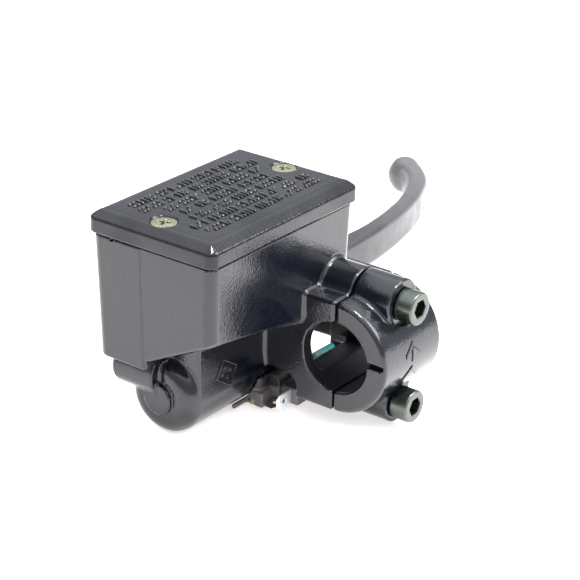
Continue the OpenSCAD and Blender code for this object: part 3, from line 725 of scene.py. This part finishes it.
def switch_field(x, y, z):
    """The moulded housing: foot, low shelf, block for the terminals, and the plunger's chamber."""
    p = (x, y, z)
    base = SWITCH_LOW[2]
    foot = block(p, (SWITCH_FRONT, PLUNGER_Y - 0.5, base),
                 (SWITCH_STEP + 1, PLUNGER_Y + 6.2, SHELF_TOP - 0.5), 0.4)
    front = block(p, (SWITCH_STEP, PLUNGER_Y - 2.6, base), (SHELF_END, PLUNGER_Y + 5.4, SHELF_TOP), 0.5)
    rear = block(p, (SHELF_END - 1, PLUNGER_Y - 2.6, base),
                 (SWITCH_HIGH[0], PLUNGER_Y + 5.4, SWITCH_TOP), 0.5)
    stud = length(x - STUD_AT[0], y - STUD_AT[1])
    post = disc(stud, z, STUD_POST_R, SHELF_TOP - 1, SWITCH_TOP - 0.4, 0.3)
    chamber = length(y - PLUNGER_Y, z - PLUNGER_Z)
    tube = disc(chamber, x, PLUNGER_R + 1.4, SWITCH_STEP, SHELF_END, 0.4)
    terminals = block(p, (-12.6, PLUNGER_Y - 8.6, base + 0.6), (1, PLUNGER_Y - 2, -16), 0.5)
    shell = weld(weld(foot, front, 0.3), np.minimum(np.minimum(rear, post), tube), 0.3)
    shell = weld(shell, terminals, 0.6)
    peg = disc(length(y - PLUNGER_Y - 6, z + 21.5), x, 0.75, SWITCH_LOW[0], SWITCH_FRONT + 1, 0.2)
    shell = np.minimum(shell, peg)
    shell = np.maximum(shell, BARREL_R + 0.2 - length(y - BORE_Y, z - BORE_Z))
    shell = carve(shell, np.maximum(chamber - CHAMBER_R, CHAMBER_END_X - x), 0.25)
    for node in ("switch_spade_upright", "switch_spade_flat"):
        low, high = span(node)
        shell = carve(shell, block(p, low - (9, 0.05, 0.05), high + (0, 0.05, 0.05), 0), 0.2)
    shell = carve(shell, np.maximum(stud - STUD_HEAD_R, z - base - 1.9), 0.2)
    return carve(shell, stud - STUD_HOLE_R, 0.1)


def spade_field(node, flat_axis, hole_x):
    """A pressed blade: bevelled nose, rounded edges and a pierced hole."""
    low, high = span(node)
    mid, half = (low + high) / 2, (high - low) / 2
    across = 3 - flat_axis

    def field(x, y, z):
        p = (x, y, z)
        w = p[across] - mid[across]
        thick = np.abs(p[flat_axis] - mid[flat_axis])
        plan = np.maximum(np.abs(w) - half[across], np.maximum(low[0] - x, x - high[0]))
        nose = (np.abs(w) - half[across] + (low[0] + 1.2 - x)) * 0.707
        blade = common(common(plan, nose, 0.2), thick - half[flat_axis], 0.16)
        edge = (low[0] + 1.0 - x) * 0.35
        blade = np.maximum(blade, thick - 0.4 + np.maximum(edge, 0))
        return carve(blade, length(x - hole_x, w) - 0.75, 0.1)
    return field


def turned_mesh(name, profile, centre):
    """A profile of (along, radius) points turned about a line along X."""
    sides = 48
    v, faces = [], []
    for k in range(sides):
        a = 2 * math.pi * k / sides
        v.extend((along, centre[0] + r * math.cos(a), centre[1] + r * math.sin(a)) for along, r in profile)
    n = len(profile)
    for k in range(sides):
        j = (k + 1) % sides
        for i in range(n - 1):
            faces.append((k * n + i, j * n + i, j * n + i + 1, k * n + i + 1))
    return mesh_of(name, v, faces)


def rounded_profile(points, r, steps=4):
    """Replaces each inner corner of an open profile by an arc-like curve of about radius r."""
    out = [points[0]]
    for before, here, after in zip(points, points[1:], points[2:]):
        a, b, c = np.array(before), np.array(here), np.array(after)
        la, lc = np.linalg.norm(a - b), np.linalg.norm(c - b)
        start = b + (a - b) * min(r, la / 2) / la
        end = b + (c - b) * min(r, lc / 2) / lc
        for t in np.linspace(0, 1, steps + 1):
            out.append(tuple((1 - t) ** 2 * start + 2 * t * (1 - t) * b + t * t * end))
    out.append(points[-1])
    return out


# ---------------------------------------------------------------- marks on the castings

BADGE_AT = (-33.0, -5.6)
BADGE_TURN = math.radians(-33)


def arrow_field(x, y, z):
    """An arrow and a chevron pointing up on the cap's back, in place of its lettering."""
    radial = length(y, z)
    flat = None
    for top in (5.2, -2.6):
        drop = np.abs(x) * 0.9 + (z - top)
        arm = np.maximum(np.abs(drop + 0.75) * 0.74 - 0.55, np.abs(x) - 3.6)
        flat = arm if flat is None else np.minimum(flat, arm)
    stem = np.maximum(np.abs(x) - 0.55, np.abs(z - 0.9) - 2.2)
    flat = np.minimum(flat, stem)
    layer = np.maximum(radial - CLAMP_R - 0.32, CLAMP_R - 0.6 - radial)
    return np.maximum(common(flat, layer, 0.2), y + 9)


def badge_field(x, y, z):
    """A plain raised frame with four dots, low on the neck."""
    cos, sin = math.cos(BADGE_TURN), math.sin(BADGE_TURN)
    across, along = x - BADGE_AT[0], z - BADGE_AT[1]
    u = across * cos + along * sin
    w = along * cos - across * sin
    ring = np.abs(np.maximum(np.abs(u) - 3.6, np.abs(w) - 3.1)) - 0.34
    dots = length(np.abs(u) - 1.5, np.abs(w) - 1.2) - 0.75
    skin = np.maximum(body_field(x, y, z), BORE_R + 2.5 - length(y - BORE_Y, z - BORE_Z))
    return common(np.minimum(ring, dots), np.maximum(skin - 0.3, -skin - 0.4), 0.16)


# ---------------------------------------------------------------- materials

def new_material(name, colour, roughness, metallic=0.0):
    mat = bpy.data.materials.new(name)
    mat.use_nodes = True
    bsdf = mat.node_tree.nodes["Principled BSDF"]
    bsdf.inputs["Base Color"].default_value = (*colour, 1)
    bsdf.inputs["Metallic"].default_value = metallic
    bsdf.inputs["Roughness"].default_value = roughness
    bsdf.inputs["IOR"].default_value = 1.5
    return mat, bsdf


def own_coords(mat):
    """The object's own coordinates, in metres."""
    return mat.node_tree.nodes.new("ShaderNodeTexCoord").outputs["Object"]


def own_axis(mat, axis):
    split = mat.node_tree.nodes.new("ShaderNodeSeparateXYZ")
    mat.node_tree.links.new(own_coords(mat), split.inputs[0])
    return split.outputs[axis]


def math_node(mat, operation, *values):
    """A math node, whose values are numbers or sockets."""
    node = mat.node_tree.nodes.new("ShaderNodeMath")
    node.operation = operation
    for slot, value in zip(node.inputs, values):
        if isinstance(value, (int, float)):
            slot.default_value = value
        else:
            mat.node_tree.links.new(value, slot)
    return node.outputs[0]


def noise(mat, scale, detail, stretch=(1, 1, 1)):
    """Noise over the object's own coordinates; scale counts features per metre."""
    nodes, links = mat.node_tree.nodes, mat.node_tree.links
    mapping = nodes.new("ShaderNodeMapping")
    mapping.inputs["Scale"].default_value = stretch
    texture = nodes.new("ShaderNodeTexNoise")
    texture.inputs["Scale"].default_value = scale
    texture.inputs["Detail"].default_value = detail
    texture.inputs["Roughness"].default_value = 0.5
    links.new(own_coords(mat), mapping.inputs["Vector"])
    links.new(mapping.outputs["Vector"], texture.inputs["Vector"])
    return texture.outputs["Fac"]


def spots(mat, scale, size):
    """1 inside small scattered round spots, 0 elsewhere."""
    nodes, links = mat.node_tree.nodes, mat.node_tree.links
    texture = nodes.new("ShaderNodeTexVoronoi")
    texture.inputs["Scale"].default_value = scale
    ramp = nodes.new("ShaderNodeMapRange")
    ramp.inputs["From Min"].default_value = size
    ramp.inputs["From Max"].default_value = size * 0.5
    links.new(own_coords(mat), texture.inputs["Vector"])
    links.new(texture.outputs["Distance"], ramp.inputs["Value"])
    return ramp.outputs["Result"]


def spread(mat, value, low, high, from_low=0.3, from_high=0.7):
    """Maps a texture's value into a range."""
    node = mat.node_tree.nodes.new("ShaderNodeMapRange")
    node.inputs["From Min"].default_value = from_low
    node.inputs["From Max"].default_value = from_high
    node.inputs["To Min"].default_value = low
    node.inputs["To Max"].default_value = high
    mat.node_tree.links.new(value, node.inputs["Value"])
    return node.outputs["Result"]


def blend_colour(mat, value, a, b):
    node = mat.node_tree.nodes.new("ShaderNodeMix")
    node.data_type = "RGBA"
    node.inputs[6].default_value = (*a, 1)
    node.inputs[7].default_value = (*b, 1)
    mat.node_tree.links.new(value, node.inputs[0])
    return node.outputs[2]


def bumps(mat, bsdf, layers):
    """Chains bump layers of (height value, strength, distance in metres)."""
    nodes, links = mat.node_tree.nodes, mat.node_tree.links
    last = None
    for height, strength, distance in layers:
        bump = nodes.new("ShaderNodeBump")
        bump.inputs["Strength"].default_value = strength
        bump.inputs["Distance"].default_value = distance
        links.new(height, bump.inputs["Height"])
        if last is not None:
            links.new(last, bump.inputs["Normal"])
        last = bump.outputs["Normal"]
    links.new(last, bsdf.inputs["Normal"])


def around_bar(mat):
    """1 on the handlebar bore and the pocket in front of it, 0 elsewhere."""
    y, z = own_axis(mat, "Y"), own_axis(mat, "Z")
    radial = math_node(mat, "SQRT", math_node(mat, "ADD", math_node(mat, "MULTIPLY", y, y),
                                              math_node(mat, "MULTIPLY", z, z)))
    across = math_node(mat, "ABSOLUTE", own_axis(mat, "X"))
    near = spread(mat, radial, 1, 0, (CLAMP_R - 0.9) * MM, (CLAMP_R - 0.5) * MM)
    within = spread(mat, across, 1, 0, (CLAMP_HALF - 1.3) * MM, (CLAMP_HALF - 0.5) * MM)
    return math_node(mat, "MULTIPLY", near, within)


def paint(name, colour, other, rough, peel, grain, bore=False):
    """Sprayed black enamel on a casting: orange peel, the casting's grain below it, and a few nibs."""
    mat, bsdf = new_material(name, colour, rough)
    links = mat.node_tree.links
    links.new(blend_colour(mat, noise(mat, 90, 3), colour, other), bsdf.inputs["Base Color"])
    gloss = spread(mat, noise(mat, 160, 3), rough * 0.8, rough * 1.25)
    if bore:
        # Dull in the bore, where the spray hardly reached
        dull = around_bar(mat)
        gloss = math_node(mat, "MULTIPLY_ADD", dull, 0.4, gloss)
        links.new(spread(mat, dull, 0.5, 0.12, 0, 1), bsdf.inputs["Specular IOR Level"])
    links.new(gloss, bsdf.inputs["Roughness"])
    bumps(mat, bsdf, [(noise(mat, 60, 2), peel * 0.5, 0.0006), (noise(mat, 620, 2), peel, 0.00011),
                      (noise(mat, 1500, 2), grain, 0.0001), (spots(mat, 130, 0.035), 0.5, 0.0002)])
    return mat


def lid_finish():
    """The lid's enamel is a little duller than the castings', in patches."""
    mat = paint("lid_paint", (0.0028, 0.0036, 0.0062), (0.0018, 0.0024, 0.0040), 0.14, 0.42, 0.6)
    bsdf = mat.node_tree.nodes["Principled BSDF"]
    mat.node_tree.links.new(spread(mat, noise(mat, 45, 2), 0.28, 0.48), bsdf.inputs["Specular IOR Level"])
    return mat


def shade_topped_plastic():
    """Grey-brown moulding, with painted shade: near black at its top, where the casting overhangs it."""
    clean, worn, painted_shade = (0.100, 0.090, 0.092), (0.075, 0.067, 0.069), (0.012, 0.011, 0.012)
    mat = moulded("switch_plastic", clean, worn, 0.48)
    # Painted shade: above about z = -16 mm, with a noisy edge, the base colour turns near black
    height = math_node(mat, "MULTIPLY_ADD", noise(mat, 400, 3), 0.002, own_axis(mat, "Z"))
    shade_mask = spread(mat, height, 0, 1, -0.0162, -0.0152)
    bsdf = mat.node_tree.nodes["Principled BSDF"]
    mat.node_tree.links.new(blend_colour(mat, shade_mask, clean, painted_shade), bsdf.inputs["Base Color"])
    return mat


def lever_finish():
    """Satin black, its base colour lighter towards the tip as a painted sheen."""
    mat = paint("lever_satin", (0.030, 0.031, 0.034), (0.022, 0.023, 0.026), 0.34, 0.16, 0.2)
    bsdf = mat.node_tree.nodes["Principled BSDF"]
    # Painted sheen: the base colour goes from near black past the pivot to a lighter grey at the tip
    along = math_node(mat, "MULTIPLY_ADD", noise(mat, 120, 3), 0.03, own_axis(mat, "X"))
    painted_sheen = spread(mat, along, 0, 1, (PIVOT[0] + 60) * MM, (TIP[0] + 20) * MM)
    mat.node_tree.links.new(blend_colour(mat, painted_sheen, (0.013, 0.0135, 0.016), (0.072, 0.071, 0.073)),
                            bsdf.inputs["Base Color"])
    return mat


def plated(name, colour, other, rough):
    """Zinc or steel with a passivated skin: clouded colour, uneven roughness, fine grain."""
    mat, bsdf = new_material(name, colour, rough, metallic=1.0)
    links = mat.node_tree.links
    links.new(blend_colour(mat, noise(mat, 420, 4), colour, other), bsdf.inputs["Base Color"])
    links.new(spread(mat, noise(mat, 700, 3), rough * 0.75, rough * 1.3), bsdf.inputs["Roughness"])
    bumps(mat, bsdf, [(noise(mat, 900, 3), 0.35, 0.00006),
                      (noise(mat, 260, 2, (1, 14, 1)), 0.175, 0.00004)])
    return mat


def moulded(name, colour, other, rough):
    """Moulded plastic or rubber: a matt skin with fine texture and faint flow marks."""
    mat, bsdf = new_material(name, colour, rough)
    links = mat.node_tree.links
    links.new(blend_colour(mat, noise(mat, 240, 3), colour, other), bsdf.inputs["Base Color"])
    links.new(spread(mat, noise(mat, 500, 3), rough * 0.85, min(1.0, rough * 1.2)), bsdf.inputs["Roughness"])
    bumps(mat, bsdf, [(noise(mat, 1600, 3), 0.3, 0.00005),
                      (noise(mat, 120, 2, (1, 6, 1)), 0.12, 0.0001)])
    return mat


PAINT = paint("cast_paint", (0.0030, 0.0042, 0.0078), (0.0020, 0.0027, 0.0050), 0.17, 0.36, 0.50, True)
LID_PAINT = lid_finish()
SATIN = lever_finish()
MARKS = paint("lid_marks_paint", (0.0024, 0.0030, 0.0052), (0.0018, 0.0024, 0.0040), 0.06, 0.15, 0.15)
ZINC = plated("zinc_bolt", (0.108, 0.120, 0.106), (0.066, 0.078, 0.066), 0.31)
TINNED = plated("tinned_brass", (0.62, 0.55, 0.50), (0.50, 0.43, 0.38), 0.33)
OLIVE = plated("olive_zinc", (0.30, 0.31, 0.20), (0.20, 0.21, 0.14), 0.40)
BRIGHT = plated("bright_steel", (0.90, 0.95, 0.99), (0.76, 0.81, 0.86), 0.4)
SPRING = plated("spring_steel", (0.36, 0.37, 0.38), (0.26, 0.27, 0.28), 0.34)
BRASS = plated("brass", (0.58, 0.43, 0.21), (0.44, 0.31, 0.14), 0.34)
ANODISED = plated("anodised_alloy", (0.52, 0.52, 0.50), (0.44, 0.44, 0.43), 0.3)
RUBBER = moulded("rubber", (0.012, 0.012, 0.013), (0.018, 0.018, 0.019), 0.62)
PLASTIC = shade_topped_plastic()
TEAL = moulded("plunger_plastic", (0.004, 0.115, 0.112), (0.003, 0.085, 0.083), 0.34)
INNER = moulded("inner_plastic", (0.05, 0.05, 0.052), (0.035, 0.035, 0.037), 0.5)


# ---------------------------------------------------------------- camera, floor and light

# Azimuth of the view from +X towards +Y, angle below the horizon, and roll, in degrees
VIEW = (36.38, 24.57, 1.36)
CAMERA_AT = (-0.41842, -0.28072, 0.24592)
LENS = 117.8
FLOOR_HALF = 3.0


def camera():
    """The photograph's view."""
    azimuth, elevation, roll = (math.radians(angle) for angle in VIEW)
    look = Vector((math.cos(elevation) * math.cos(azimuth), math.cos(elevation) * math.sin(azimuth),
                   -math.sin(elevation)))
    right = Vector((math.sin(azimuth), -math.cos(azimuth), 0))
    up = right.cross(look)
    right, up = (right * math.cos(roll) + up * math.sin(roll),
                 up * math.cos(roll) - right * math.sin(roll))
    data = bpy.data.cameras.new("camera")
    data.lens = LENS
    data.sensor_width = 36
    data.clip_start, data.clip_end = 0.01, 20
    obj = bpy.data.objects.new("camera", data)
    bpy.context.scene.collection.objects.link(obj)
    turn = Matrix((right, up, -look)).transposed().to_4x4()
    obj.matrix_world = Matrix.Translation(Vector(CAMERA_AT)) @ turn
    bpy.context.scene.camera = obj


def area_light(name, place, target, size, power):
    data = bpy.data.lights.new(name, "AREA")
    data.shape = "SQUARE"
    data.size = size
    data.energy = power
    obj = bpy.data.objects.new(name, data)
    bpy.context.scene.collection.objects.link(obj)
    place = Vector(place)
    aim = (Vector(target) - place).to_track_quat("-Z", "Y").to_matrix().to_4x4()
    obj.matrix_world = Matrix.Translation(place) @ aim


def studio_world():
    """White all round, brighter overhead, as under a large softbox."""
    world = bpy.data.worlds.new("studio")
    bpy.context.scene.world = world
    world.use_nodes = True
    nodes, links = world.node_tree.nodes, world.node_tree.links
    background = nodes["Background"]
    background.inputs["Color"].default_value = (0.96, 0.98, 1.03, 1)
    coords = nodes.new("ShaderNodeTexCoord")
    split = nodes.new("ShaderNodeSeparateXYZ")
    level = nodes.new("ShaderNodeMapRange")
    level.interpolation_type = "SMOOTHSTEP"
    level.inputs["From Min"].default_value = 0.48
    level.inputs["From Max"].default_value = 0.72
    level.inputs["To Min"].default_value = 1.02
    level.inputs["To Max"].default_value = 2.7
    links.new(coords.outputs["Generated"], split.inputs[0])
    links.new(split.outputs["Z"], level.inputs["Value"])
    links.new(level.outputs["Result"], background.inputs["Strength"])


def stage():
    """A white floor just under the part, the sky and two lamps."""
    mesh = bpy.data.meshes.new("floor")
    r, z = FLOOR_HALF, cad_low.z - 0.0002
    mesh.from_pydata([(-r, -r, z), (r, -r, z), (r, r, z), (-r, r, z)], [], [(0, 1, 2, 3)])
    floor = bpy.data.objects.new("floor", mesh)
    bpy.context.scene.collection.objects.link(floor)
    mat, bsdf = new_material("floor", (0.86, 0.835, 0.83), 0.45)
    bsdf.inputs["Emission Color"].default_value = (1, 0.965, 0.955, 1)
    bsdf.inputs["Emission Strength"].default_value = 0.6
    mesh.materials.append(mat)
    studio_world()
    bpy.context.scene.view_settings.view_transform = "Standard"
    area_light("overhead", (0.02, -0.15, 1.0), (0, 0, 0), 0.14, 12.0)
    area_light("right", (0.45, -0.65, 0.75), (0.03, -0.03, 0.0), 0.7, 17.0)


# ---------------------------------------------------------------- build

def switch_pieces():
    cast("brake_light_switch", switch_field, SWITCH_LOW, SWITCH_HIGH, 0.3, PLASTIC, "perch", "switch_plastic",
         "switch_housing")
    low, _ = span("switch_spade_upright")
    cast("spade_terminal_upright", spade_field("switch_spade_upright", 1, low[0] + 3.4),
         *span("switch_spade_upright"), 0.2, BRIGHT, "perch", "bright_steel", "switch_spade_upright")
    cast("spade_terminal_flat", spade_field("switch_spade_flat", 2, low[0] + 3.4),
         *span("switch_spade_flat"), 0.2, TINNED, "perch", "brass", "switch_spade_flat")
    near, far = PLUNGER_LOW[0], PLUNGER_HIGH[0]
    profile = rounded_profile([(near, 0), (near, PLUNGER_R), (far, PLUNGER_R), (far, 0)], 0.7)
    piece("teal_plunger", turned_mesh("teal_plunger", profile, (PLUNGER_Y, PLUNGER_Z)), TEAL,
          "plunger_set", "plunger_plastic", "switch_plunger")


def fasteners():
    cast("clamp_screws", bolts_field, BOLT_LOW, BOLT_HIGH, 0.34, ZINC, "perch", "zinc_bolt",
         "clamp_bolts")
    for i, screw_x in enumerate(SCREW_X):
        cast(f"lid_screw_{i + 1}", screw_field(screw_x),
             (screw_x - SCREW_R, TUB_MID[1] - SCREW_R, SCREWS_LOW[2]),
             (screw_x + SCREW_R, TUB_MID[1] + SCREW_R, SCREWS_HIGH[2] + 0.1),
             0.26, OLIVE, "perch", "lid_screw", "lid_screws")
    cast("pivot_bolt", pivot_field, *span("lever_pivot_bolt"), 0.34, ZINC, "perch", "zinc_bolt",
         "lever_pivot_bolt")
    cast("pivot_nut", nut_field, *span("lever_pivot_nut"), 0.34, ZINC, "perch", "zinc_bolt", "lever_pivot_nut")


def castings():
    cast("master_cylinder_body", body_field, BODY_LOW, BODY_HIGH, 0.7, PAINT, "perch", "cast_body",
         "master_body")
    cast("clamp_cap_cast", cap_field, CAP_LOW, CAP_HIGH, 0.5, PAINT, "perch", "cast_body", "clamp_cap")
    cast("up_arrow", arrow_field, (-4, -CLAMP_R - 0.4, -8), (4, -14, 6), 0.2, PAINT, "perch", "cast_body")
    cast("casting_badge", badge_field, (-40, 24, -12), (-26, BORE_Y, 1), 0.24, PAINT, "perch", "cast_body")
    cast("lid", lid_field, LID_LOW, LID_HIGH, 0.5, LID_PAINT, "perch", "lid", "reservoir_lid")
    piece("lid_marks", bars_mesh("lid_marks", lid_bars(), LID_TOP, MARK_H), MARKS, "perch", "lid")
    cast("lever", lever_field, LEVER_LOW, LEVER_HIGH, 0.75, SATIN, "lever", "lever", "brake_lever")


def cad_looks():
    """The nodes that stay as the CAD made them, all inside or nearly so, get real materials."""
    looks = {
        "lid_diaphragm": RUBBER, "primary_cup": RUBBER, "secondary_cup": RUBBER, "dust_boot": RUBBER,
        "diaphragm_plate": INNER, "fluid_baffle": BRIGHT, "lever_bush": BRASS, "piston": ANODISED,
        "spring_seat": BRASS, "return_spring": SPRING, "stop_washer": BRIGHT, "circlip": SPRING,
        "switch_contact": BRASS, "switch_spring": SPRING, "switch_screw": OLIVE,
    }
    for name, node in frame["nodes"].items():
        node.data.materials.clear()
        node.data.materials.append(looks.get(name, PAINT))


castings()
fasteners()
switch_pieces()
cad_looks()
camera()
stage()
